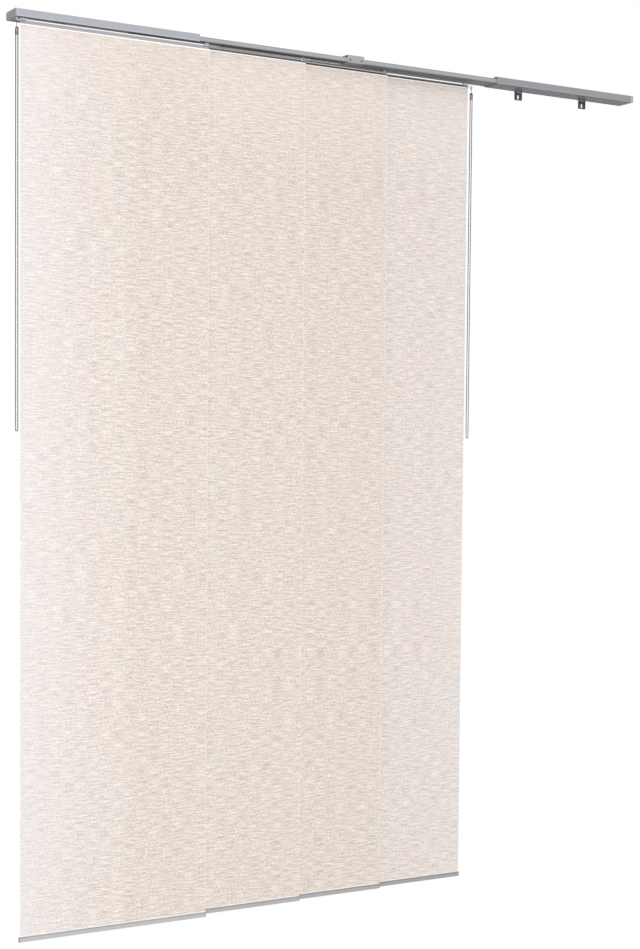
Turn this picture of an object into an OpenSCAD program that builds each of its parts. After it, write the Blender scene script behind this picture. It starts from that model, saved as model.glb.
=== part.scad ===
// Panel track blind: four fabric panels that slide past each other in a
// telescopic aluminium track, with two draw wands and four wall brackets.
// Origin: wall face of the leftmost bracket, level with the track's underside.
// X runs along the track, Y towards the wall, Z up.

/* [Track] */
// Length of each outer rail, with its end cap
outer_l = 562; // [450:1:900]
// Length of inner track that shows between the outer rails
shown_l = 1060; // [700:1:1070]
// Length of inner track held inside each outer rail
overlap_l = 40; // [25:1:60]
// Height of the outer rails
outer_h = 21.8; // [20.5:0.1:26]
// Width of one channel inside the outer rails
channel_w = 15.6; // [15:0.1:18]
// Thickness of the webs between channels
web_t = 1.4; // [1:0.1:2]
// Thickness of the outer rails' front and back walls
outer_wall = 1.8; // [1.2:0.1:2.4]
// Thickness of the outer rails' floor strips
floor_t = 1.8; // [1.2:0.1:2.2]
// Thickness of the outer rails' top
top_t = 1.6; // [1:0.1:1.9]
// Radius of the outer rails' long edges
edge_r = 1.2; // [0.4:0.1:1.4]
// Width of the slots that the hangers hang through
slot_w = 6; // [5:0.1:7]

/* [Inner track] */
// Height of each inner channel
inner_h = 13.4; // [12.5:0.1:13.6]
// Wall of each inner channel
inner_wall = 1.1; // [0.8:0.1:1.3]
// Floor of each inner channel
inner_floor = 1.2; // [0.8:0.1:1.5]
// Sliding clearance on each side of an inner channel
inner_clear = 0.3; // [0.2:0.05:0.5]
// Lift of the inner channels off the outer rails' floor
inner_lift = 0.4; // [0.2:0.1:0.6]
// Depth of the fine grooves along the inner channels
groove_t = 0.25; // [0.1:0.05:0.4]
// Length of the sleeve that joins the two halves
sleeve_l = 60; // [40:1:80]
// Height that the sleeve stands above the outer rails
sleeve_rise = 1.8; // [0:0.1:3]
// Thickness of the sleeve's top and floor strips
sleeve_t = 1.2; // [0.8:0.1:1.5]
// Diameter of the sleeve screws
screw_d = 2.8; // [2:0.1:3.5]
// Diameter of the sleeve screws' heads
screw_head_d = 4.8; // [4:0.1:6]
// Distance from each end of the sleeve to its screw
screw_in = 10; // [6:0.5:16]

/* [End caps] */
// Length of rail that an end cap takes the place of
cap_w = 9; // [5:0.5:12]
// Thickness of an end cap's end plate
cap_t = 2.2; // [1.5:0.1:3]
// Length of the tongues that plug into the rail
tongue_l = 12; // [6:1:20]

/* [Panels] */
// Width of each fabric panel
panel_w = 585; // [450:1:620]
// Height from a panel's top edge to the underside of its bottom bar
drop_h = 2546; // [1500:1:2700]
// Thickness of the fabric
fabric_t = 0.7; // [0.4:0.1:1]
// Distance from the track's left end to the first panel
first_in = 14; // [13:0.5:40]
// Step from the first panel's left edge to the second's
step_a = 331; // [100:1:440]
// Step from the second panel's left edge to the third's
step_b = 303; // [100:1:440]
// Step from the third panel's left edge to the fourth's
step_c = 316.5; // [100:0.5:440]

/* [Carriers] */
// Gap from the track's underside down to the carriers
carrier_gap = 3; // [2.5:0.1:4]
// Height of a carrier strip
carrier_h = 26; // [22:0.5:34]
// Thickness of a carrier strip
carrier_t = 2.4; // [1.8:0.1:2.8]
// Diameter of the bead along a carrier's top
bead_d = 4.6; // [3.6:0.1:5]
// Height of carrier that shows above panels two to four
carrier_show = 7.6; // [7.4:0.1:9]
// Extra height that shows above the first panel
first_lower = 4.4; // [0:0.1:6]
// Thickness of the hook tape on a carrier
tape_t = 0.6; // [0.4:0.1:0.9]
// Clearance between a fabric sheet and what it hangs from
fabric_clear = 0.3; // [0.2:0.05:0.4]

/* [Hangers] */
// Length of a hanger along the track
hanger_l = 18; // [14:0.5:24]
// Depth of a hanger
hanger_d = 8; // [7.4:0.1:8.4]
// Distance from a panel's edge to its hanger
hanger_in = 2; // [1:0.1:4]
// Height of a hanger's body
hanger_h = 7.7; // [7.4:0.1:7.8]
// Thickness of a hanger's stem
stem_t = 4.2; // [3:0.1:4.6]
// Length of a hanger's stem
stem_l = 10; // [6:0.5:12]
// Length of a glider
glider_l = 16; // [14:0.5:18]
// Height of a glider
glider_h = 6.5; // [5:0.1:8]
// Clearance around a glider
glider_clear = 0.6; // [0.4:0.1:0.8]
// Reach of the pick-up lugs on the hangers
lug_l = 3.8; // [2:0.1:4]

/* [Bottom bars] */
// Height of a bottom bar
bar_h = 14.5; // [12:0.5:20]
// Thickness of a bottom bar
bar_t = 6; // [5:0.1:8]
// Depth of the slot that holds the fabric
bar_slot = 9; // [6:0.1:9]
// Thickness of a bar's end caps
bar_cap_t = 1.5; // [1:0.1:3]

/* [Wands] */
// Diameter of a wand
wand_d = 8.5; // [6:0.1:9]
// Length of a wand, from its cap's lower end to its tip
wand_l = 1081; // [600:1:1500]
// Distance from a panel's edge to its wand
wand_out = 9.3; // [8.6:0.1:10]
// Wall of a wand's cap
cap_wall = 0.45; // [0.4:0.05:0.6]
// Length of a wand's cap below its ears
wand_cap_l = 15; // [12:0.5:20]
// Diameter of the hook wire
wire_d = 1.6; // [1.2:0.1:1.8]
// Height from a wand's pivot pin up to its eyelet
hook_h = 22; // [20:0.5:28]
// Diameter of the pivot pin
pin_d = 2.4; // [2:0.1:2.8]
// Diameter of an eyelet
eyelet_d = 9.5; // [9:0.1:10]
// Diameter of the hole in an eyelet
eyelet_hole = 3; // [2.6:0.1:3.4]

/* [Brackets] */
// Distance from the track's end to the centre of its first bracket
bracket_in = 160; // [60:1:200]
// Distance between the two brackets of one rail
bracket_step = 264; // [150:1:320]
// Width of a bracket
bracket_w = 28.5; // [26:0.5:36]
// Thickness of a bracket
bracket_t = 2.4; // [2:0.1:3]
// Length of bracket that shows below the track
bracket_drop = 26; // [24:0.5:40]
// Width of a bracket's screw slots
fix_w = 7.5; // [5:0.1:8]
// Length of a bracket's screw slots
fix_l = 13.5; // [10:0.5:16]
// Height of the ribs along a bracket's sides
rib_h = 1.6; // [1:0.1:1.7]
// Gap between a rail and the bracket behind it
back_gap = 2.1; // [2:0.1:3]
// Thickness of a rail clip
clip_t = 1.2; // [0.8:0.1:1.4]

/* [Hidden] */
$fn = 48;
wire_fn = 24;
eps = 0.01;
past = 1;
channels = 4;
pitch = channel_w + web_t;
outer_d = channels * channel_w + (channels - 1) * web_t + 2 * outer_wall;
track_l = 2 * outer_l + shown_l;
rail_l = outer_l - cap_w;
wall_y = outer_d + back_gap + bracket_t;

inner_w = channel_w - 2 * inner_clear;
inner_z = floor_t + inner_lift;
inner_half_l = overlap_l + shown_l / 2;
halves_gap = 0.5;
run_z = inner_z + inner_floor;
groove_w = 0.9;
groove_step = 4.8;

keeper_w = 1.2;
keeper_z = inner_z + inner_h + inner_lift;
keeper_h = 1;
tongue_clear = 0.2;
clip_rib_y = 12;
clip_rib_t = 1.2;
clip_lip = 2;
clip_lip_t = 1;
clip_clear = 0.1;
clip_lip_z = clip_t + 3 * clip_clear;

sleeve_z = inner_z - sleeve_t;
sleeve_top = outer_h + sleeve_rise;
sleeve_r = 0.6;
screw_z = inner_z + inner_h / 2;
screw_wall = outer_wall + inner_clear + inner_wall;
screw_clear = 0.1;
screw_head_h = 1.2;
screw_past = 0.1;
recess_l = 2.8;
recess_w = 0.6;
recess_h = 0.7;

carrier_top = -carrier_gap;
plate_y = carrier_t / 4;
plate_front = plate_y - carrier_t / 2;
ridge_r = 0.6;
ridge_gap = 0.1;
hanger_rise = 1.2;
hanger_top = carrier_top + hanger_rise;
hanger_end = 1;
grip_clear = 0.15;
ridge_z = hanger_top - hanger_h - ridge_r - ridge_gap;
strip_in = hanger_in + hanger_end + grip_clear;
strip_l = panel_w - 2 * strip_in;
tape_gap = 0.6;
fabric_y = plate_front - tape_t - fabric_clear - fabric_t / 2;
fabric_end = 0.5;
glider_lift = 0.2;
glider_roof = 1;
glider_r = 2.5;
glider_z = run_z + glider_lift;
glider_w = inner_w - 2 * inner_wall - 2 * glider_clear;
stem_top = glider_z + glider_h - glider_roof;
stem_clear = 0.15;
lug_w = 3;
lug_h = 5;

bar_r = 1.2;
bar_gap = 0.45;
bar_chamber = 2.6;
bar_foot = 1.5;
peg_clear = 0.1;
peg_l = 6;

socket_clear = 0.15;
wand_gap = 0.5;
wand_cap_d = wand_d + 2 * cap_wall + 2 * socket_clear;
wand_y = fabric_y - fabric_t / 2 - wand_cap_d / 2 - wand_gap;
eyelet_z = hanger_top - hanger_h;
eyelet_t = 2.4;
eyelet_arm_h = 6;
eyelet_arm_in = 4;
eyelet_arm_bite = 1;
wire_lift = 0.5;
wire_z = eyelet_z - (eyelet_hole - wire_d) / 2 + wire_lift;
ring_clear = 0.75;
ring_r = (eyelet_d / 2 + wire_d + ring_clear) / 2;
pin_z = wire_z - hook_h;
pin_clear = 0.15;
eye_r = pin_d / 2 + pin_clear + wire_d / 2;
ear_clear = 0.4;
ear_gap = wire_d + 2 * ear_clear;
ear_t = 2;
ear_r = 2.9;
ear_foot = eye_r + wire_d / 2 + ear_clear;
knob_d = 4;
knob_l = 2;
socket_l = 10;
rod_gap = 0.1;
cap_foot = pin_z - ear_foot;

leg_y = outer_d + back_gap;
arm_y = 20;
arm_z = outer_h + 2 * clip_clear + clip_t;
rib_t = 1.8;
prong_l = 4.5;
prong_w = 4;
clip_side = 0.5;
clip_w = bracket_w - 2 * rib_t - 2 * clip_side;
clip_front = clip_rib_y + clip_rib_t + 3 * clip_clear;
clip_back = outer_d + 3 * clip_clear;
clip_foot = -3 * clip_clear - clip_t;
boss_d = 6;
boss_clear = 0.1;
fix_edge = 3;
fix_z = -bracket_drop + fix_l / 2 + fix_edge;
arm_fix_in = 15.4;

// Centre of channel k, counted from the front, behind the track's front face
function channel_y(k) = outer_wall + channel_w / 2 + (k - 1) * pitch;

// Left edge of panel k, from the track's left end
function panel_x(k) =
    first_in + (k > 1 ? step_a : 0) + (k > 2 ? step_b : 0) + (k > 3 ? step_c : 0);

// Top edge of panel k's fabric
function fabric_top(k) = carrier_top - carrier_show - (k == 1 ? first_lower : 0);

// Underside of panel k's bottom bar
function bar_z(k) = fabric_top(k) - drop_h;

// Centre of bracket n, from the track's left end
function bracket_x(n) =
    n == 1 ? bracket_in :
    n == 2 ? bracket_in + bracket_step :
    n == 3 ? track_l - bracket_in - bracket_step :
    track_l - bracket_in;

// From the track's left front corner to the part's own frame
module in_frame() translate([-bracket_in, -wall_y, 0]) children();

// A YZ profile drawn flat, stretched along the track
module along(x, l) translate([x, 0, 0]) rotate([90, 0, 90]) linear_extrude(l) children();

// Seen from the track's other end
module from_right() translate([track_l, 0, 0]) mirror([1, 0, 0]) children();

module round_rect(w, h, r) {
    translate([r, 0]) square([w - 2 * r, h]);
    translate([0, r]) square([w, h - 2 * r]);
    for (x = [r, w - r], y = [r, h - r]) translate([x, y]) circle(r);
}

// One channel's space between floor and top, with the keeper ribs left standing
module channel_space(z0, z1) {
    translate([-channel_w / 2, z0]) square([channel_w, keeper_z - z0]);
    translate([-channel_w / 2 + keeper_w, keeper_z - eps])
        square([channel_w - 2 * keeper_w, keeper_h + 2 * eps]);
    translate([-channel_w / 2, keeper_z + keeper_h])
        square([channel_w, z1 - keeper_z - keeper_h]);
}

// The slot through a channel's floor
module floor_slot(z, t) translate([-slot_w / 2, z - past]) square([slot_w, t + past + eps]);

module outer_profile() difference() {
    union() {
        round_rect(outer_d, outer_h, edge_r);
        translate([clip_rib_y, outer_h - eps])
            square([clip_rib_t, clip_lip_z + clip_lip_t + eps]);
        translate([clip_rib_y, outer_h + clip_lip_z])
            square([clip_rib_t + clip_lip, clip_lip_t]);
    }
    for (k = [1 : channels]) translate([channel_y(k), 0]) {
        channel_space(floor_t, outer_h - top_t);
        floor_slot(0, floor_t);
    }
}

module outer_rail() color([0.70, 0.71, 0.73]) along(cap_w, rail_l) outer_profile();

module end_cap() color([0.62, 0.63, 0.65]) {
    tongue_z = keeper_z + keeper_h + tongue_clear;
    tongue_h = outer_h - top_t - tongue_z - tongue_clear;
    difference() {
        along(0, cap_w) round_rect(outer_d, outer_h, edge_r);
        translate([cap_t, outer_wall, floor_t])
            cube([cap_w, outer_d - 2 * outer_wall, outer_h - floor_t - top_t]);
    }
    for (k = [1 : channels])
        translate([cap_t - eps, channel_y(k) - channel_w / 2 + tongue_clear, tongue_z])
            cube([cap_w - cap_t + tongue_l, channel_w - 2 * tongue_clear, tongue_h]);
}

module inner_profile() difference() {
    translate([-inner_w / 2, 0]) square([inner_w, inner_h]);
    translate([-inner_w / 2 + inner_wall, inner_floor])
        square([inner_w - 2 * inner_wall, inner_h - inner_floor - inner_wall]);
    floor_slot(0, inner_floor);
    for (side = [-1, 1], step = [-1, 1])
        translate([side * inner_w / 2, (inner_h + step * groove_step) / 2])
            square([2 * groove_t, groove_w], center = true);
}

// Inner channel k of the left half, from inside the outer rail to mid-track
module inner_channel(k) color([0.66, 0.67, 0.69]) difference() {
    translate([0, channel_y(k), inner_z])
        along(outer_l - overlap_l, inner_half_l - halves_gap / 2) inner_profile();
    if (k == 1) screw_hole();
}

// Along the sleeve's left screw, from the sleeve's front face towards the wall
module screw_axis()
    translate([(track_l - sleeve_l) / 2 + screw_in, 0, screw_z]) rotate([-90, 0, 0]) children();

module screw_hole() screw_axis() translate([0, 0, -past])
    cylinder(d = screw_d + 2 * screw_clear, h = screw_wall + 2 * past);

module joining_sleeve() color([0.68, 0.69, 0.71]) difference() {
    along((track_l - sleeve_l) / 2, sleeve_l) difference() {
        translate([0, sleeve_z]) round_rect(outer_d, sleeve_top - sleeve_z, sleeve_r);
        for (k = [1 : channels]) translate([channel_y(k), 0]) {
            channel_space(inner_z, sleeve_top - sleeve_t);
            floor_slot(sleeve_z, sleeve_t);
        }
    }
    screw_hole();
    from_right() screw_hole();
}

module sleeve_screw() screw_axis() difference() {
    union() {
        cylinder(d = screw_d, h = screw_wall + screw_past);
        translate([0, 0, -screw_head_h]) cylinder(d = screw_head_d, h = screw_head_h);
    }
    for (turn = [0, 90]) rotate(turn)
        translate([-recess_l / 2, -recess_w / 2, -screw_head_h - eps])
            cube([recess_l, recess_w, recess_h]);
}

module sleeve_screws() color([0.20, 0.20, 0.22]) {
    sleeve_screw();
    from_right() sleeve_screw();
}

// Bracket against the wall, centred on x = 0
module bracket() color([0.16, 0.17, 0.20]) difference() {
    union() {
        translate([-bracket_w / 2, leg_y, -bracket_drop])
            cube([bracket_w, bracket_t, bracket_drop + arm_z + bracket_t]);
        translate([-bracket_w / 2, arm_y, arm_z])
            cube([bracket_w, wall_y - arm_y, bracket_t]);
        for (side = [0, 1]) mirror([side, 0, 0])
            translate([bracket_w / 2 - rib_t, leg_y - rib_h, -bracket_drop])
                cube([rib_t, rib_h + eps, bracket_drop + arm_z + eps]);
    }
    for (z = [fix_z, outer_h / 2])
        translate([0, leg_y - past, z]) rotate([-90, 0, 0]) fix_slot();
    translate([0, outer_d - arm_fix_in, arm_z - past]) fix_slot();
    translate([0, outer_d / 2, arm_z - past])
        cylinder(d = boss_d + 2 * boss_clear, h = bracket_t + 2 * past);
}

// Screw slot with round ends, cut through a bracket's thickness
module fix_slot() linear_extrude(bracket_t + 2 * past) {
    square([fix_w, fix_l - fix_w], center = true);
    for (side = [-1, 1]) translate([0, side * (fix_l - fix_w) / 2]) circle(d = fix_w);
}

// Sprung clip that grips the rail under its bracket
module rail_clip() color([0.78, 0.79, 0.80]) {
    top = outer_h + clip_clear;
    translate([-clip_w / 2, clip_front, top])
        cube([clip_w, clip_back - clip_front + clip_t, clip_t]);
    translate([-clip_w / 2, clip_back, clip_foot])
        cube([clip_w, clip_t, top + clip_t - clip_foot]);
    for (x = [-1, 0, 1])
        translate([x * (clip_w - prong_w) / 2 - prong_w / 2, clip_back - prong_l, clip_foot])
            cube([prong_w, prong_l + eps, clip_t]);
    translate([0, outer_d / 2, top + clip_t - eps])
        cylinder(d = boss_d, h = bracket_t - clip_clear);
}

module carrier_profile(grow = 0) {
    translate([plate_y, carrier_top - bead_d / 2]) circle(d = bead_d + 2 * grow);
    translate([plate_front - grow, carrier_top - carrier_h - grow])
        square([carrier_t + 2 * grow, carrier_h - bead_d / 2 + grow]);
    translate([plate_front, ridge_z]) circle(r = ridge_r);
}

module carrier(k) color([0.60, 0.60, 0.62])
    translate([0, channel_y(k), 0]) along(panel_x(k) + strip_in, strip_l) carrier_profile();

module tape(k) color([0.85, 0.84, 0.82]) {
    foot = carrier_top - carrier_h;
    head = min(fabric_top(k), ridge_z - ridge_r) - tape_gap;
    translate([panel_x(k) + strip_in, channel_y(k) + plate_front - tape_t, foot])
        cube([strip_l, tape_t, head - foot]);
}

module fabric(k) color([0.93, 0.89, 0.85]) {
    low = bar_z(k) + bar_h - bar_slot + fabric_end;
    translate([panel_x(k), channel_y(k) + fabric_y - fabric_t / 2, low])
        cube([panel_w, fabric_t, fabric_top(k) - low]);
}

// Hanger at a panel's left edge, which lies on x = 0; y = 0 is its channel's middle
module hanger() {
    difference() {
        translate([hanger_in, -hanger_d / 2, hanger_top - hanger_h])
            cube([hanger_l, hanger_d, hanger_h]);
        along(hanger_in + hanger_end, hanger_l) carrier_profile(grip_clear);
    }
    translate([hanger_in + (hanger_l - stem_l) / 2, -stem_t / 2, hanger_top - eps])
        cube([stem_l, stem_t, stem_top - hanger_top + eps]);
}

// Pick-up lug on the back of a hanger
module lug()
    translate([hanger_in + (hanger_l - lug_w) / 2, hanger_d / 2 - eps,
               hanger_top - (hanger_h + lug_h) / 2])
        cube([lug_w, lug_l + eps, lug_h]);

// Arm and eyelet that a wand hangs from, off a panel's left edge
module eyelet() difference() {
    union() {
        translate([-wand_out, wand_y - eyelet_t / 2, eyelet_z]) rotate([-90, 0, 0])
            cylinder(d = eyelet_d, h = eyelet_t);
        translate([-wand_out, wand_y - eyelet_t / 2, eyelet_z - eyelet_arm_h / 2])
            cube([wand_out + hanger_in + eyelet_arm_in, eyelet_t, eyelet_arm_h]);
        translate([hanger_in, wand_y - eyelet_t / 2, eyelet_z])
            cube([eyelet_arm_in, eyelet_t / 2 - wand_y - hanger_d / 2 + eyelet_arm_bite,
                  eyelet_arm_h / 2]);
    }
    translate([-wand_out, wand_y - eyelet_t, eyelet_z]) rotate([-90, 0, 0])
        cylinder(d = eyelet_hole, h = 2 * eyelet_t);
}

module left_hanger(k) color([0.90, 0.92, 0.93]) translate([panel_x(k), channel_y(k), 0]) {
    hanger();
    if (k > 1) mirror([0, 1, 0]) lug();
    if (k == 1) eyelet();
}

module right_hanger(k) color([0.90, 0.92, 0.93])
    translate([panel_x(k) + panel_w, channel_y(k), 0]) mirror([1, 0, 0]) {
        hanger();
        if (k < channels) lug();
        if (k == channels) eyelet();
    }

// Nylon shoe on a hanger's stem, which runs on the channel's floor
module glider() translate([hanger_in + hanger_l / 2, 0, glider_z]) difference() {
    translate([-glider_l / 2, -glider_w / 2, 0])
        linear_extrude(glider_h) round_rect(glider_l, glider_w, glider_r);
    translate([-stem_l / 2 - stem_clear, -stem_t / 2 - stem_clear, -past])
        cube([stem_l + 2 * stem_clear, stem_t + 2 * stem_clear, glider_h - glider_roof + past]);
}

module gliders(k) color([0.93, 0.93, 0.92]) {
    translate([panel_x(k), channel_y(k), 0]) glider();
    translate([panel_x(k) + panel_w, channel_y(k), 0]) mirror([1, 0, 0]) glider();
}

// A bottom bar's outline, with the slot for the fabric's lower edge
module bar_outline() difference() {
    translate([-bar_t / 2, 0]) round_rect(bar_t, bar_h, bar_r);
    translate([-fabric_t / 2 - bar_gap, bar_h - bar_slot])
        square([fabric_t + 2 * bar_gap, bar_slot + past]);
}

module bar_profile() difference() {
    bar_outline();
    translate([-bar_chamber / 2, bar_foot]) square(bar_chamber);
}

module bottom_bar(k) color([0.70, 0.70, 0.71])
    translate([0, channel_y(k) + fabric_y, bar_z(k)])
        along(panel_x(k) + bar_cap_t, panel_w - 2 * bar_cap_t) bar_profile();

module bar_cap() {
    along(0, bar_cap_t) bar_outline();
    translate([bar_cap_t - eps, -bar_chamber / 2 + peg_clear, bar_foot + peg_clear])
        cube([peg_l, bar_chamber - 2 * peg_clear, bar_chamber - 2 * peg_clear]);
}

module bar_caps(k) color([0.35, 0.35, 0.37]) {
    translate([panel_x(k), channel_y(k) + fabric_y, bar_z(k)]) bar_cap();
    translate([panel_x(k) + panel_w, channel_y(k) + fabric_y, bar_z(k)])
        mirror([1, 0, 0]) bar_cap();
}

module wire_ring(z, r) translate([0, 0, z]) rotate([0, 90, 0])
    rotate_extrude() translate([r, 0]) circle(d = wire_d, $fn = wire_fn);

// Wire hook in the YZ plane: a ring through the eyelet, a shank and an eye on the pin
module hook() color([0.75, 0.76, 0.78]) {
    wire_ring(wire_z - ring_r, ring_r);
    wire_ring(pin_z, eye_r);
    translate([0, 0, pin_z + eye_r])
        cylinder(d = wire_d, h = wire_z - 2 * ring_r - pin_z - eye_r, $fn = wire_fn);
}

// Cap over a wand's top, with two ears and the pivot pin between them
module wand_cap() color([0.28, 0.20, 0.16]) {
    difference() {
        translate([0, 0, cap_foot - wand_cap_l]) cylinder(d = wand_cap_d, h = wand_cap_l);
        translate([0, 0, cap_foot - wand_cap_l - past])
            cylinder(d = wand_d + 2 * socket_clear, h = socket_l + past);
    }
    for (side = [-1, 1]) translate([side * (ear_gap + ear_t) / 2, 0, 0]) {
        translate([-ear_t / 2, 0, pin_z]) rotate([0, 90, 0]) cylinder(r = ear_r, h = ear_t);
        translate([-ear_t / 2, -ear_r, cap_foot - eps]) cube([ear_t, 2 * ear_r, ear_foot + eps]);
    }
    translate([-ear_gap / 2 - eps, 0, pin_z]) rotate([0, 90, 0])
        cylinder(d = pin_d, h = ear_gap + ear_t + knob_l + eps);
    translate([ear_gap / 2 + ear_t, 0, pin_z]) rotate([0, 90, 0]) cylinder(d = knob_d, h = knob_l);
}

// Clear rod with a round tip
module wand_rod() color([0.92, 0.94, 0.95]) {
    top = cap_foot - wand_cap_l + socket_l - rod_gap;
    tip = cap_foot - wand_cap_l - wand_l + wand_d / 2;
    translate([0, 0, tip]) cylinder(d = wand_d, h = top - tip);
    translate([0, 0, tip]) sphere(d = wand_d);
}

module at_left_wand() translate([panel_x(1) - wand_out, channel_y(1) + wand_y, 0]) children();

module at_right_wand()
    translate([panel_x(channels) + panel_w + wand_out, channel_y(channels) + wand_y, 0]) children();

in_frame() {
    outer_rail();  // left_outer_rail
    from_right() outer_rail();  // right_outer_rail
    end_cap();  // left_end_cap
    from_right() end_cap();  // right_end_cap
    for (k = [1 : channels]) {
        inner_channel(k);
        from_right() inner_channel(k);
    }
    joining_sleeve();
    sleeve_screws();
    for (n = [1 : 4]) translate([bracket_x(n), 0, 0]) {
        bracket();
        rail_clip();
    }
    for (k = [1 : channels]) {
        fabric(k);
        carrier(k);
        tape(k);
        left_hanger(k);
        right_hanger(k);
        gliders(k);
        bottom_bar(k);
        bar_caps(k);
    }
    at_left_wand() {
        hook();  // left_hook
        wand_cap();  // left_wand_cap
        wand_rod();  // left_wand_rod
    }
    at_right_wand() {
        hook();  // right_hook
        wand_cap();  // right_wand_cap
        wand_rod();  // right_wand_rod
    }
}
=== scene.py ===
import math

import bmesh
import bpy
from mathutils import Matrix, Vector


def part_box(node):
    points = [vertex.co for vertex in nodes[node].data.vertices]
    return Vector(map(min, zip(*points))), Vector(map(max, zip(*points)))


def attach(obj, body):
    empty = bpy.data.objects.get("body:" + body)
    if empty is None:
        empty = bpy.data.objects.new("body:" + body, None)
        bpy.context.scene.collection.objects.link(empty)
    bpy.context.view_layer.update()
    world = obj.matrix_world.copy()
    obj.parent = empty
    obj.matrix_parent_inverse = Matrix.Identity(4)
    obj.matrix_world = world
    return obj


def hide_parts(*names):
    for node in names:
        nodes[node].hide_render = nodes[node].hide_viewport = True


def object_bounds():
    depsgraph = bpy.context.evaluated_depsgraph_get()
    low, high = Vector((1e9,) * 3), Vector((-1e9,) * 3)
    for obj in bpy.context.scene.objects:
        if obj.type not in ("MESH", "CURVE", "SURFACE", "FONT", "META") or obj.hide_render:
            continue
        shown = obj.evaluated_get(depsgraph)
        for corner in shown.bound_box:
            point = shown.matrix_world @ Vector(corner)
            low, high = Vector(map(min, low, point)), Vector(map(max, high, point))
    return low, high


# Panel track blind. Metres, in the part's own frame: origin on the wall face of the
# leftmost bracket, X along the track, Y towards the wall, Z up.

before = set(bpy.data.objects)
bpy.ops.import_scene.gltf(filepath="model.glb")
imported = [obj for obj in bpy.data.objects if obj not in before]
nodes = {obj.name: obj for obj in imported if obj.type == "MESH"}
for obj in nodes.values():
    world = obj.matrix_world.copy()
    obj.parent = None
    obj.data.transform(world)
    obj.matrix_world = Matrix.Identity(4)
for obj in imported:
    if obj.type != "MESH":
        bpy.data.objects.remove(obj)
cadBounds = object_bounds()
sides = ("left", "right")
panels = (1, 2, 3, 4)
brackets = (1, 2, 3, 4)
print("blind: frame loaded,", len(nodes), "nodes")


# Camera, at the photograph's viewpoint

view = {
    "place": (-1.9451, -4.7363, -1.1951),
    "yaw": -30.67,          # degrees, to the right of straight at the wall
    "pitch": -2.73,         # degrees above level, so slightly downward
    "roll": 0.49,
    "focalPixels": 1782.0,
    "axisRow": 542.1,       # picture row that the lens axis passes through
    "pictureHeight": 949,
    "sensor": 36.0,
    "farthest": 200,
}


def makeCamera():
    data = bpy.data.cameras.new("camera")
    data.sensor_width = view["sensor"]
    data.lens = view["focalPixels"] * view["sensor"] / view["pictureHeight"]
    data.shift_y = view["axisRow"] / view["pictureHeight"] - 0.5
    data.clip_end = view["farthest"]
    camera = bpy.data.objects.new("camera", data)
    bpy.context.collection.objects.link(camera)
    camera.matrix_world = (
        Matrix.Translation(view["place"])
        @ Matrix.Rotation(math.radians(view["yaw"]), 4, "Z")
        @ Matrix.Rotation(math.radians(90 + view["pitch"]), 4, "X")   # 90 is level
        @ Matrix.Rotation(math.radians(view["roll"]), 4, "Z")
    )
    bpy.context.scene.camera = camera


makeCamera()
print("blind: camera placed")


# Node helpers

def startMaterial(name):
    material = bpy.data.materials.new(name)
    material.use_nodes = True
    tree = material.node_tree
    return material, tree, tree.nodes["Principled BSDF"]


def addNode(tree, kind, **values):
    node = tree.nodes.new(kind)
    for key, value in values.items():
        setattr(node, key, value)
    return node


def setInputs(node, **values):
    for key, value in values.items():
        node.inputs[key.replace("_", " ")].default_value = value
    return node


def feed(tree, value, socket):
    if isinstance(value, (int, float, tuple)):
        socket.default_value = value
    else:
        tree.links.new(value, socket)


def objectPlace(tree, scale=(1, 1, 1)):
    coords = addNode(tree, "ShaderNodeTexCoord")
    mapping = setInputs(addNode(tree, "ShaderNodeMapping"), Scale=scale)
    tree.links.new(coords.outputs["Object"], mapping.inputs["Vector"])
    return mapping.outputs["Vector"]


def clothPlace(tree, scale=(1, 1, 1), offset=(0, 0, 0)):
    coords = addNode(tree, "ShaderNodeUVMap", uv_map="cloth")
    mapping = setInputs(addNode(tree, "ShaderNodeMapping"), Scale=scale, Location=offset)
    tree.links.new(coords.outputs["UV"], mapping.inputs["Vector"])
    return mapping.outputs["Vector"]


def axesOf(tree, vector):
    parts = addNode(tree, "ShaderNodeSeparateXYZ")
    tree.links.new(vector, parts.inputs["Vector"])
    return parts.outputs


def noiseAt(tree, vector, scale=1.0, detail=3.0):
    noise = setInputs(addNode(tree, "ShaderNodeTexNoise"), Scale=scale, Detail=detail)
    tree.links.new(vector, noise.inputs["Vector"])
    return noise.outputs["Fac"]


def ranged(tree, value, low, high, fromLow=0.0, fromHigh=1.0):
    node = setInputs(
        addNode(tree, "ShaderNodeMapRange"),
        From_Min=fromLow, From_Max=fromHigh, To_Min=low, To_Max=high,
    )
    tree.links.new(value, node.inputs["Value"])
    return node.outputs["Result"]


def mathOf(tree, operation, first, second=0):
    node = addNode(tree, "ShaderNodeMath", operation=operation)
    feed(tree, first, node.inputs[0])
    feed(tree, second, node.inputs[1])
    return node.outputs["Value"]


def plus(tree, first, second):
    return mathOf(tree, "ADD", first, second)


def minus(tree, first, second):
    return mathOf(tree, "SUBTRACT", first, second)


def times(tree, first, second):
    return mathOf(tree, "MULTIPLY", first, second)


def larger(tree, first, second):
    return mathOf(tree, "MAXIMUM", first, second)


def mixColours(tree, share, first, second):
    node = addNode(tree, "ShaderNodeMix", data_type="RGBA")
    tree.links.new(share, node.inputs["Factor"])
    colourSockets = node.inputs[6:8]   # the colour ones among several of the same name
    for socket, colour in zip(colourSockets, (first, second)):
        feed(tree, (*colour, 1) if isinstance(colour, tuple) else colour, socket)
    return node.outputs[2]


def mixShaders(tree, share, first, second):
    node = addNode(tree, "ShaderNodeMixShader")
    feed(tree, share, node.inputs["Fac"])
    tree.links.new(first, node.inputs[1])
    tree.links.new(second, node.inputs[2])
    return node.outputs["Shader"]


def scaled(tree, colour, factor):
    node = addNode(tree, "ShaderNodeVectorMath", operation="SCALE")
    tree.links.new(colour, node.inputs[0])
    tree.links.new(factor, node.inputs["Scale"])
    return node.outputs["Vector"]


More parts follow.
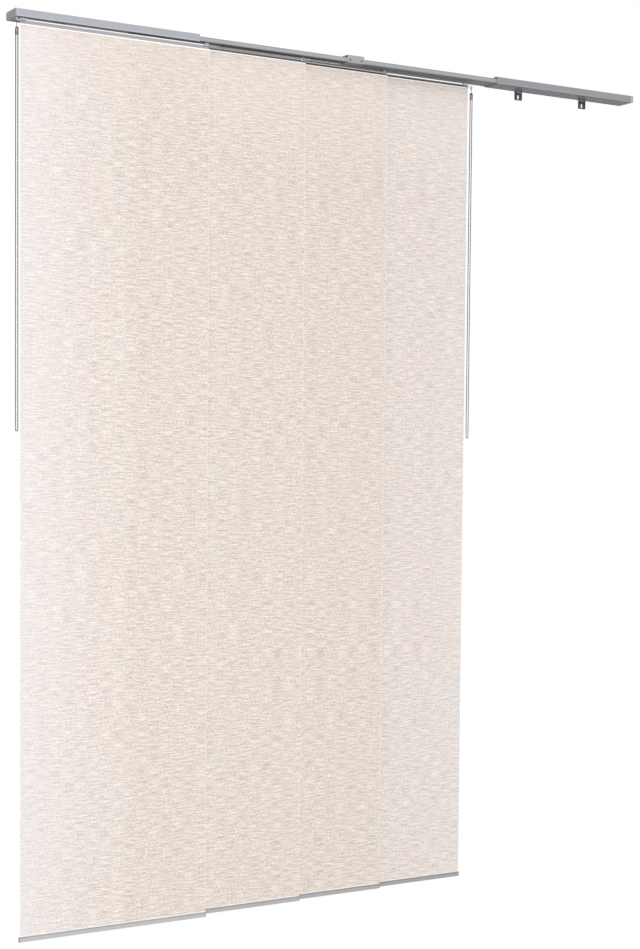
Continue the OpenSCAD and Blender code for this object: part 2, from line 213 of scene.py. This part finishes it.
brightest = 2     # brightness that the white end of a ramp stands for


def paintedBandsAlong(tree, axis, low, high, stops):
    place = axesOf(tree, objectPlace(tree))
    ramp = addNode(tree, "ShaderNodeValToRGB")
    tree.links.new(ranged(tree, place[axis], 0, 1, low, high), ramp.inputs["Fac"])
    points = ramp.color_ramp.elements
    while len(points) < len(stops):
        points.new(0.5)   # moved to its own place below
    for point, (at, brightness) in zip(points, stops):
        grey = brightness / brightest
        point.position = at
        point.color = (grey, grey, grey, 1)
    return times(tree, ramp.outputs["Color"], brightest)


def roughen(tree, shader, grain, low, high):
    tree.links.new(ranged(tree, grain, low, high), shader.inputs["Roughness"])


def addBump(tree, shader, height, strength, depth):
    bump = setInputs(addNode(tree, "ShaderNodeBump"), Strength=strength, Distance=depth)
    tree.links.new(height, bump.inputs["Height"])
    tree.links.new(bump.outputs["Normal"], shader.inputs["Normal"])
    return bump.outputs["Normal"]


def shades(colour, spread):
    dark = tuple(channel * (1 - spread) for channel in colour)
    light = tuple(min(1, channel * (1 + spread)) for channel in colour)
    return dark, light


def numbered(name, numbers=panels):
    return [f"{name}_{number}" for number in numbers]


def dress(material, *names):
    for name in names:
        slots = nodes[name].data.materials
        slots.clear()
        slots.append(material)


# Track: anodised aluminium, with fine draw lines along its length, and painted highlights and shade
# up the fronts

trackLook = {
    "railColour": (0.348, 0.361, 0.387),
    # painted shade: the right outer rail, the same aluminium as the left, is darker because less
    # light reaches it
    "shadedRailColour": (0.266, 0.273, 0.29),
    "innerColour": (0.318, 0.327, 0.339),
    "paintedHighlightColour": (0.97, 0.97, 0.99),   # painted highlight: the third left channel is made pale to stand for a bright line above panel 3's carrier, paler in the photograph
    "sleeveColour": (0.325, 0.335, 0.343),
    "barShadeTones": {1: 0.42, 2: 0.37, 3: 0.34, 4: 0.31},   # painted shade: darker to the right, away from the light, as photographed
    "barBlue": 1.02,                # a little more blue than plain grey
    "metallic": 0.35,
    "roughness": (0.36, 0.50),
    "spread": 0.05,                 # how far the tone strays to either side
    "drawLines": (1.5, 500, 500),   # per metre, stretched along X
    "clouds": 12,                   # per metre
    "lineShare": 0.6,               # the rest of the tone comes from the clouds
    "toneRange": (0.3, 0.7),
    "bump": (0.15, 0.0002),         # strength, and depth in metres
}

# Painted highlights and shade up the front of each piece: share of its height, then brightness
frontPaintedLight = {
    "leftRail": (
        (0.0, 0.3), (0.04, 0.5), (0.07, 1.3), (0.14, 1.3),
        (0.18, 0.98), (0.9, 1.0), (0.96, 1.08),
    ),
    "rightRail": (
        (0.0, 0.78), (0.05, 0.9), (0.07, 1.2), (0.14, 1.2),
        (0.18, 0.98), (0.9, 1.0), (0.96, 1.08),
    ),
    "leftInner": (
        (0.0, 0.35), (0.06, 0.4), (0.1, 0.96), (0.36, 1.0),
        (0.42, 1.12), (0.62, 1.12), (0.72, 0.97), (0.97, 0.86),
    ),
    "rightInner": (
        (0.0, 0.72), (0.06, 0.75), (0.1, 0.95), (0.36, 0.98),
        (0.42, 1.1), (0.62, 1.1), (0.72, 0.95), (0.97, 0.84),
    ),
    "bar": ((0.0, 1.0), (0.3, 1.06), (0.72, 1.02), (0.84, 0.72)),
}


def paintedLightUpFront(name, kind):
    low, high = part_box(name)
    return low.z, high.z, frontPaintedLight[kind]


def drawnAluminium(name, colour, paintedBands=None):
    material, tree, shader = startMaterial(name)
    lines = noiseAt(tree, objectPlace(tree, trackLook["drawLines"]))
    clouds = noiseAt(tree, objectPlace(tree), trackLook["clouds"], detail=2)
    lineShare = trackLook["lineShare"]
    both = plus(tree, times(tree, lines, lineShare), times(tree, clouds, 1 - lineShare))
    tone = ranged(tree, both, 0, 1, *trackLook["toneRange"])
    colours = mixColours(tree, tone, *shades(colour, trackLook["spread"]))
    # painted highlights and shade, as brightness bands up the piece
    if paintedBands:
        colours = scaled(tree, colours, paintedBandsAlong(tree, "Z", *paintedBands))
    tree.links.new(colours, shader.inputs["Base Color"])
    roughen(tree, shader, lines, *trackLook["roughness"])
    setInputs(shader, Metallic=trackLook["metallic"])
    addBump(tree, shader, lines, *trackLook["bump"])
    return material


leftRailLight = paintedLightUpFront("left_end_cap", "leftRail")   # an end cap is as high as its rail's front
dress(drawnAluminium("railAluminium", trackLook["railColour"], leftRailLight), "left_outer_rail")
rightRailLight = paintedLightUpFront("right_end_cap", "rightRail")
dress(drawnAluminium("shadedRailAluminium", trackLook["shadedRailColour"], rightRailLight), "right_outer_rail")
for side in sides:
    innerPaintedLight = paintedLightUpFront(f"inner_{side}_1", f"{side}Inner")
    inner = drawnAluminium(f"innerAluminium_{side}", trackLook["innerColour"], innerPaintedLight)
    dress(inner, *numbered(f"inner_{side}"))
dress(drawnAluminium("paintedHighlightAluminium", trackLook["paintedHighlightColour"]), "inner_left_3")
dress(drawnAluminium("sleeveAluminium", trackLook["sleeveColour"]), "joining_sleeve")
for k, tone in trackLook["barShadeTones"].items():
    bar = f"bottom_bar_{k}"
    colour = (tone, tone, tone * trackLook["barBlue"])
    dress(drawnAluminium(f"barAluminium{k}", colour, paintedLightUpFront(bar, "bar")), bar)
print("blind: track dressed")


# Carriers: drawn strips in painted light and shade, toned panel by panel: a brighter bead with a
# painted highlight above a darker plate in painted shade

carrierLook = {
    "beadLight": {
        1: (0.97, 0.97, 0.98), 2: (0.43, 0.43, 0.44),
        3: (0.60, 0.59, 0.60), 4: (0.20, 0.18, 0.17),
    },
    "plateShade": {
        1: (0.37, 0.36, 0.37), 2: (0.12, 0.12, 0.125),
        3: (0.06, 0.054, 0.054), 4: (0.06, 0.048, 0.045),
    },
    "beadDepth": 0.0036,     # from the carrier's top to where the bead gives way to the plate
    "blendHeight": 0.0008,
    "lineSpread": (0.85, 1.15),
    "metallic": 0.3,
    "roughness": (0.29, 0.43),
    "drawLines": (2, 700, 700),
    "bump": (0.15, 0.0002),
}


def carrierPaintedLight(k):
    look = carrierLook
    material, tree, shader = startMaterial(f"carrierPaintedLight{k}")
    height = axesOf(tree, objectPlace(tree))["Z"]
    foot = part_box(f"carrier_{k}")[1].z - look["beadDepth"]
    above = ranged(tree, height, 0, 1, foot - look["blendHeight"], foot + look["blendHeight"])
    # painted highlight on the bead, painted shade on the plate
    tone = mixColours(tree, above, look["plateShade"][k], look["beadLight"][k])
    lines = noiseAt(tree, objectPlace(tree, look["drawLines"]))
    streaks = scaled(tree, tone, ranged(tree, lines, *look["lineSpread"]))
    tree.links.new(streaks, shader.inputs["Base Color"])
    roughen(tree, shader, lines, *look["roughness"])
    setInputs(shader, Metallic=look["metallic"])
    addBump(tree, shader, lines, *look["bump"])
    return material


for k in panels:
    dress(carrierPaintedLight(k), f"carrier_{k}")


# Moulded plastics

mouldedLooks = {
    "capPlastic": {
        "colour": (0.385, 0.395, 0.415), "roughness": (0.42, 0.58), "spread": 0.05, "grain": 900,
    },
    "barCapPlastic": {
        "colour": (0.16, 0.16, 0.17), "roughness": (0.37, 0.53), "spread": 0.08, "grain": 1200,
    },
    "nylon": {
        "colour": (0.82, 0.82, 0.80), "roughness": (0.32, 0.48), "spread": 0.03, "grain": 700,
    },
}
mouldedGrain = {"clouds": 12, "bump": (0.25, 0.0001)}

# Painted shade on an end cap's outer side and a painted highlight at its seam with the rail, from
# its outer face to the rail: share of its length, then brightness
capPaintedLight = ((0, 0.6), (0.1, 0.62), (0.2, 0.98), (0.8, 1.0), (0.9, 1.4))


def mouldedPlastic(name, look, paintedBands=None):
    material, tree, shader = startMaterial(name)
    grain = noiseAt(tree, objectPlace(tree), look["grain"])
    clouds = noiseAt(tree, objectPlace(tree), mouldedGrain["clouds"], detail=2)
    tone = mixColours(tree, clouds, *shades(look["colour"], look["spread"]))
    # painted shade on the cap's outer side and a painted highlight at its seam with the rail
    if paintedBands:
        tone = scaled(tree, tone, paintedBandsAlong(tree, "X", *paintedBands))
    tree.links.new(tone, shader.inputs["Base Color"])
    roughen(tree, shader, grain, *look["roughness"])
    addBump(tree, shader, grain, *mouldedGrain["bump"])
    return material


for side in sides:
    low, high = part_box(f"{side}_end_cap")
    ends = (low.x, high.x) if side == "left" else (high.x, low.x)
    cap = mouldedPlastic(f"capPlastic_{side}", mouldedLooks["capPlastic"], (*ends, capPaintedLight))
    dress(cap, f"{side}_end_cap")
dress(mouldedPlastic("barCapPlastic", mouldedLooks["barCapPlastic"]), *numbered("bar_caps"))
dress(mouldedPlastic("nylon", mouldedLooks["nylon"]), *numbered("gliders"))


# Painted and plated steel

steelLooks = {
    "bracketPaint": {
        "colour": (0.045, 0.052, 0.07), "metallic": 0.0, "roughness": (0.34, 0.52), "coat": 0.3,
    },
    "zincPlate": {
        "colour": (0.60, 0.61, 0.63), "metallic": 0.8, "roughness": (0.30, 0.48), "coat": 0.0,
    },
    "darkSteel": {
        "colour": (0.05, 0.05, 0.055), "metallic": 0.7, "roughness": (0.27, 0.45), "coat": 0.0,
    },
    "springWire": {
        "colour": (0.022, 0.02, 0.019), "metallic": 0.2, "roughness": (0.42, 0.60), "coat": 0.0,
    },
}
steelGrain = {"peel": 500, "patches": 60, "spread": 0.12, "bump": (0.2, 0.0002)}


def finishedSteel(name):
    look = steelLooks[name]
    material, tree, shader = startMaterial(name)
    peel = noiseAt(tree, objectPlace(tree), steelGrain["peel"])
    patches = noiseAt(tree, objectPlace(tree), steelGrain["patches"])
    tone = mixColours(tree, patches, *shades(look["colour"], steelGrain["spread"]))
    tree.links.new(tone, shader.inputs["Base Color"])
    roughen(tree, shader, peel, *look["roughness"])
    setInputs(shader, Metallic=look["metallic"], Coat_Weight=look["coat"])
    addBump(tree, shader, peel, *steelGrain["bump"])
    return material


dress(finishedSteel("bracketPaint"), *numbered("bracket", brackets))
dress(finishedSteel("zincPlate"), *numbered("rail_clip", brackets))
dress(finishedSteel("darkSteel"), "sleeve_screws")
dress(finishedSteel("springWire"), "left_hook", "right_hook")


# Hook tape on the carriers' faces

tapeLook = {
    "colour": (0.74, 0.73, 0.70),
    "spread": 0.15,
    "hooks": 1100,           # per metre
    "roughness": 0.85,
    "sheen": 0.3,
    "bump": (0.6, 0.0004),
}


def hookTape():
    material, tree, shader = startMaterial("hookTape")
    hooks = setInputs(addNode(tree, "ShaderNodeTexVoronoi"), Scale=tapeLook["hooks"])
    tree.links.new(objectPlace(tree), hooks.inputs["Vector"])
    height = hooks.outputs["Distance"]
    dark, light = shades(tapeLook["colour"], tapeLook["spread"])
    tree.links.new(mixColours(tree, height, light, dark), shader.inputs["Base Color"])
    setInputs(shader, Roughness=tapeLook["roughness"], Sheen_Weight=tapeLook["sheen"])
    addBump(tree, shader, height, *tapeLook["bump"])
    return material


dress(hookTape(), *numbered("tape"))
print("blind: fittings dressed")


# Clear parts: hangers, wands and their smoked caps, with painted shade at their rims

clearLooks = {
    "wandAcrylic": {
        "middle": (1.0, 1.0, 1.0), "rimShade": (0.07, 0.07, 0.073), "rimShadeRange": (0.05, 0.13),
        "clearness": (1.0, 0.0), "roughness": (0.0, 0.05), "gloss": 0.1, "ripple": 0.0,
        "index": 1.12,       # low, so that the rods read as two dark lines, as photographed
    },
    "wandCapSmoke": {
        "middle": (0.72, 0.62, 0.57), "rimShade": (0.02, 0.013, 0.01), "rimShadeRange": (0.03, 0.16),
        "clearness": (0.9, 0.0), "roughness": (0.05, 0.10), "gloss": 0.1, "ripple": 0.05,
        "index": 1.49,
    },
    "hangerClear": {
        "middle": (0.97, 0.98, 1.0), "rimShade": (0.06, 0.065, 0.08), "rimShadeRange": (0.12, 0.5),
        "clearness": (0.8, 0.2), "roughness": (0.06, 0.11), "gloss": 0.5, "ripple": 0.1,
        "index": 1.49,
    },
}
clearGrain = {"flow": 90, "depth": 0.0003}


def clearMoulding(name):
    look = clearLooks[name]
    material, tree, shader = startMaterial(name)
    facing = addNode(tree, "ShaderNodeLayerWeight").outputs["Facing"]
    # painted shade: the base colour darkens towards the rims, where the surface turns away from
    # view
    rimShade = ranged(tree, facing, 0, 1, *look["rimShadeRange"])
    tree.links.new(mixColours(tree, rimShade, look["middle"], look["rimShade"]), shader.inputs["Base Color"])
    clear = ranged(tree, rimShade, *look["clearness"])   # middle, then rim
    tree.links.new(clear, shader.inputs["Transmission Weight"])
    flow = noiseAt(tree, objectPlace(tree), clearGrain["flow"])
    roughen(tree, shader, flow, *look["roughness"])
    setInputs(shader, IOR=look["index"], Specular_IOR_Level=look["gloss"])
    addBump(tree, shader, flow, look["ripple"], clearGrain["depth"])
    return material


dress(clearMoulding("wandAcrylic"), "left_wand_rod", "right_wand_rod")
dress(clearMoulding("wandCapSmoke"), "left_wand_cap", "right_wand_cap")
dress(clearMoulding("hangerClear"), *numbered("left_hanger"), *numbered("right_hanger"))
print("blind: clear parts dressed")


# Panels: open screen cloth with short slubs across its width

cloth = {
    "thickness": 0.0007,
    "columns": 12,
    "rows": 48,
    # yarn
    "thin": (0.67, 0.56, 0.487),      # slub tones, thin to thick yarn
    "thick": (0.967, 0.842, 0.757),
    "slubs": (26, 250, 1),            # per metre, across and up
    "fineSlubs": (140, 320, 1),
    "toneRange": (0.36, 0.62),
    "patternStep": (3.7, 1.9, 0),     # how far the pattern moves on from panel to panel
    "warmTint": (1.008, 0.997, 0.992),
    "coolTint": (0.994, 1.002, 0.998),
    "tints": (7, 5, 1),
    "tintRange": (0.4, 0.6),
    "weave": 1250,                    # threads per metre
    "threadHeight": 0.15,
    "bump": (0.35, 0.0004),
    "roughness": 0.8,
    "sheen": 0.15,
    # light through it
    "openness": 0.20,                 # share that passes straight through one face
    "opennessSpread": 0.04,           # more in thin yarn, less in thick
    "gapTint": (0.45, 0.80, 1.0),     # the cool cast of light between the yarns
    "translucency": 0.05,
    # sealed strips along the edges, in a lighter colour that is partly a painted highlight along
    # the cut edges
    "edgeColour": (0.985, 0.96, 0.955),
    "edgeWidth": 0.0032,              # along the top and the left edge
    "seamWidth": 0.0026,              # down the right edge
    "seamFade": {1: (0.4, 0.22), 2: (0.4, 0.22), 3: (0.4, 0.22), 4: (0.3, 0.3)},   # top, lower down
    "fadeLength": 0.075,
    "edgeSharpness": 0.7,             # share of a strip's width that has its full strength
    "footWidth": 0.0030,              # above the bottom bar
    "footStrength": 0.6,
    "footSharpness": 0.97,
    # lip in the plate's colour, with its painted shade, painted over the cloth's top
    "lap": {1: 0.0018, 2: 0.0020, 3: 0.0018},
    "lapBlend": (0.8, 1.2),
    # painted light and shade on the cloth, and calmer slubs near its top
    "topShade": 0.94,                 # painted shade: tone at the top, against 1 at the foot
    "topPaintedLight": {1: 1.035, 2: 1.085, 3: 1.10, 4: 1.09},   # painted light: tone just under the carrier, lifting the shade there
    "topCalm": 0.35,                  # how much weaker the slubs are there
    "glowLength": 0.32,
    "sideLightColour": (0.922, 0.846, 0.838),    # painted light: paler cloth near the blind's two outer edges
    "sideLight": {1: ("left", 0.40, 0.22), 4: ("right", 0.15, 0.12)},   # how much, and how far in
}


def awayFrom(tree, width, height):
    place = axesOf(tree, clothPlace(tree))
    return {
        "left": place["X"],
        "right": minus(tree, width, place["X"]),
        "foot": place["Y"],
        "top": minus(tree, height, place["Y"]),
    }


def slubTone(tree, away, offset):
    slubs = noiseAt(tree, clothPlace(tree, cloth["slubs"], offset), detail=1)
    fine = noiseAt(tree, clothPlace(tree, cloth["fineSlubs"], offset), detail=1)
    mean = times(tree, plus(tree, slubs, fine), 0.5)
    tone = ranged(tree, mean, 0, 1, *cloth["toneRange"])
    calm = ranged(tree, away["top"], cloth["topCalm"], 0, 0, cloth["glowLength"])
    towardsMiddle = times(tree, minus(tree, 0.5, tone), calm)
    return plus(tree, tone, towardsMiddle)


def sealedStrips(tree, k, away, barTop):
    sharp = cloth["edgeSharpness"]
    topEdge = minus(tree, away["top"], cloth["lap"].get(k, 0))
    nearest = mathOf(tree, "MINIMUM", away["left"], topEdge)
    edge = ranged(tree, nearest, 1, 0, cloth["edgeWidth"] * sharp, cloth["edgeWidth"])
    seam = ranged(tree, away["right"], 1, 0, cloth["seamWidth"] * sharp, cloth["seamWidth"])
    fade = ranged(tree, away["top"], *cloth["seamFade"][k], 0, cloth["fadeLength"])
    hem = barTop + cloth["footWidth"]
    foot = ranged(tree, away["foot"], cloth["footStrength"], 0, hem * cloth["footSharpness"], hem)
    return larger(tree, edge, larger(tree, times(tree, seam, fade), foot))


def yarnColour(tree, tone, offset):
    body = mixColours(tree, tone, cloth["thin"], cloth["thick"])
    patches = noiseAt(tree, clothPlace(tree, cloth["tints"], offset), detail=1)
    warmth = ranged(tree, patches, 0, 1, *cloth["tintRange"])
    tint = mixColours(tree, warmth, cloth["coolTint"], cloth["warmTint"])
    tinted = addNode(tree, "ShaderNodeVectorMath", operation="MULTIPLY")
    tree.links.new(body, tinted.inputs[0])
    tree.links.new(tint, tinted.inputs[1])
    return tinted.outputs["Vector"]


def colourWithPaintedLight(tree, k, yarn, strips, away, height):
    # painted shade darker towards the top, and painted light just under the carrier
    shade = ranged(tree, away["foot"], 1, cloth["topShade"], 0, height)
    glow = ranged(tree, away["top"], cloth["topPaintedLight"][k], 1, 0, cloth["glowLength"])
    colour = scaled(tree, yarn, times(tree, shade, glow))
    # painted light: paler cloth near the blind's outer edges
    if k in cloth["sideLight"]:
        side, share, reach = cloth["sideLight"][k]
        sideLit = ranged(tree, away[side], share, 0, 0, reach)
        colour = mixColours(tree, sideLit, colour, cloth["sideLightColour"])
    # sealed strips, lighter, partly a painted highlight along the cut edges
    colour = mixColours(tree, strips, colour, cloth["edgeColour"])
    # a lip in the carrier plate's colour, with its painted shade, over the cloth's top
    if k in cloth["lap"]:
        ends = (cloth["lap"][k] * part for part in cloth["lapBlend"])
        lapped = ranged(tree, away["top"], 1, 0, *ends)
        colour = mixColours(tree, lapped, colour, carrierLook["plateShade"][k])
    return colour


def weaveBump(tree, shader, tone, away):
    turns = cloth["weave"] * math.tau
    across = mathOf(tree, "SINE", times(tree, away["left"], turns))
    up = mathOf(tree, "SINE", times(tree, away["foot"], turns))
    threads = times(tree, plus(tree, across, up), cloth["threadHeight"])
    return addBump(tree, shader, plus(tree, tone, threads), *cloth["bump"])


def openWeave(tree, shader, colour, normal, tone, strips):
    through = addNode(tree, "ShaderNodeBsdfTranslucent")
    tree.links.new(colour, through.inputs["Color"])
    tree.links.new(normal, through.inputs["Normal"])
    translucency = cloth["translucency"]
    fibre = mixShaders(tree, translucency, shader.outputs["BSDF"], through.outputs["BSDF"])
    gaps = setInputs(addNode(tree, "ShaderNodeBsdfTransparent"), Color=(*cloth["gapTint"], 1))
    openness, spread = cloth["openness"], cloth["opennessSpread"]
    gapShare = ranged(tree, tone, openness + spread, openness - spread)
    gapShare = times(tree, gapShare, minus(tree, 1, strips))   # the sealed strips are closed
    whole = mixShaders(tree, gapShare, fibre, gaps.outputs["BSDF"])
    tree.links.new(whole, tree.nodes["Material Output"].inputs["Surface"])


def screenCloth(k, width, height, barTop):
    material, tree, shader = startMaterial(f"screenCloth{k}")
    offset = tuple(step * k for step in cloth["patternStep"])
    away = awayFrom(tree, width, height)
    tone = slubTone(tree, away, offset)
    strips = sealedStrips(tree, k, away, barTop)
    colour = colourWithPaintedLight(tree, k, yarnColour(tree, tone, offset), strips, away, height)
    tree.links.new(colour, shader.inputs["Base Color"])
    setInputs(shader, Roughness=cloth["roughness"], Sheen_Weight=cloth["sheen"])
    normal = weaveBump(tree, shader, tone, away)
    openWeave(tree, shader, colour, normal, tone, strips)
    return material


def panelMesh(name, middle, width, height):
    mesh = bpy.data.meshes.new(name)
    bm = bmesh.new()
    # a square of side 1, stretched to the cloth's size once its UV map is laid out in metres
    bmesh.ops.create_grid(bm, x_segments=cloth["columns"], y_segments=cloth["rows"], size=0.5)
    uv = bm.loops.layers.uv.new("cloth")
    for face in bm.faces:
        for loop in face.loops:
            loop[uv].uv = ((loop.vert.co.x + 0.5) * width, (loop.vert.co.y + 0.5) * height)
    bmesh.ops.scale(bm, vec=(width, height, 1), verts=bm.verts)
    bmesh.ops.rotate(bm, matrix=Matrix.Rotation(math.pi / 2, 3, "X"), verts=bm.verts)
    bmesh.ops.translate(bm, vec=middle, verts=bm.verts)
    bm.to_mesh(mesh)
    bm.free()
    return mesh


def makePanel(k):
    low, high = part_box(f"fabric_{k}")
    width, height = high.x - low.x, high.z - low.z
    mesh = panelMesh(f"screen_panel_{k}", (low + high) / 2, width, height)
    panel = bpy.data.objects.new(f"screen_panel_{k}", mesh)
    bpy.context.collection.objects.link(panel)
    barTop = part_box(f"bottom_bar_{k}")[1].z - low.z   # above the foot of the cloth
    mesh.materials.append(screenCloth(k, width, height, barTop))
    wall = panel.modifiers.new("thickness", "SOLIDIFY")
    wall.thickness = cloth["thickness"]
    wall.offset = 0
    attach(panel, f"panel_{k}")
    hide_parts(f"fabric_{k}")


for k in panels:
    makePanel(k)
print("blind: panels hung")


# Studio: pale floor, white surroundings, soft light from the front left

studio = {
    "floorDrop": 0.045,     # floor below the bottom bars
    "floorSize": 60,
    "floorColour": (0.32, 0.32, 0.32),
    "floorGlow": 0.74,      # what the eye sees added, so that the floor reads white
    "surround": 0.98,       # strength of the white surroundings on the object
    "keyPlace": (-2.6, -8.6, -0.9),
    "keyAim": (0.5, 0.0, -1.2),
    "keySize": 4.5,
    "keyPower": 645,
}


def seenByEye(tree):
    path = addNode(tree, "ShaderNodeLightPath")
    seen = larger(tree, path.outputs["Is Camera Ray"], path.outputs["Is Glossy Ray"])
    return larger(tree, seen, path.outputs["Is Transmission Ray"])


def floorPaint():
    material, tree, shader = startMaterial("floorPaint")
    tree.nodes.remove(shader)
    matt = setInputs(addNode(tree, "ShaderNodeBsdfDiffuse"), Color=(*studio["floorColour"], 1))
    glow = addNode(tree, "ShaderNodeEmission")
    strength = times(tree, seenByEye(tree), studio["floorGlow"])
    tree.links.new(strength, glow.inputs["Strength"])
    total = addNode(tree, "ShaderNodeAddShader")
    tree.links.new(matt.outputs["BSDF"], total.inputs[0])
    tree.links.new(glow.outputs["Emission"], total.inputs[1])
    tree.links.new(total.outputs["Shader"], tree.nodes["Material Output"].inputs["Surface"])
    return material


def makeFloor():
    height = cadBounds[0][2] - studio["floorDrop"]
    mesh = bpy.data.meshes.new("floor")
    bm = bmesh.new()
    bmesh.ops.create_grid(bm, x_segments=1, y_segments=1, size=studio["floorSize"] / 2)
    bmesh.ops.translate(bm, vec=(0, 0, height), verts=bm.verts)
    bm.to_mesh(mesh)
    bm.free()
    floor = bpy.data.objects.new("floor", mesh)
    bpy.context.collection.objects.link(floor)
    mesh.materials.append(floorPaint())


def makeSurroundings():
    world = bpy.data.worlds.new("studio")
    bpy.context.scene.world = world
    world.use_nodes = True
    tree = world.node_tree
    background = setInputs(tree.nodes["Background"], Color=(1, 1, 1, 1))
    strength = ranged(tree, seenByEye(tree), studio["surround"], 1)
    tree.links.new(strength, background.inputs["Strength"])


def makeKey():
    data = bpy.data.lights.new("key", "AREA")
    data.size = studio["keySize"]
    data.energy = studio["keyPower"]
    key = bpy.data.objects.new("key", data)
    bpy.context.collection.objects.link(key)
    key.location = studio["keyPlace"]
    aim = Vector(studio["keyAim"]) - Vector(studio["keyPlace"])
    key.rotation_euler = aim.to_track_quat("-Z", "Y").to_euler()


makeFloor()
makeSurroundings()
makeKey()
bpy.context.scene.view_settings.view_transform = "Standard"
print("blind: studio lit")
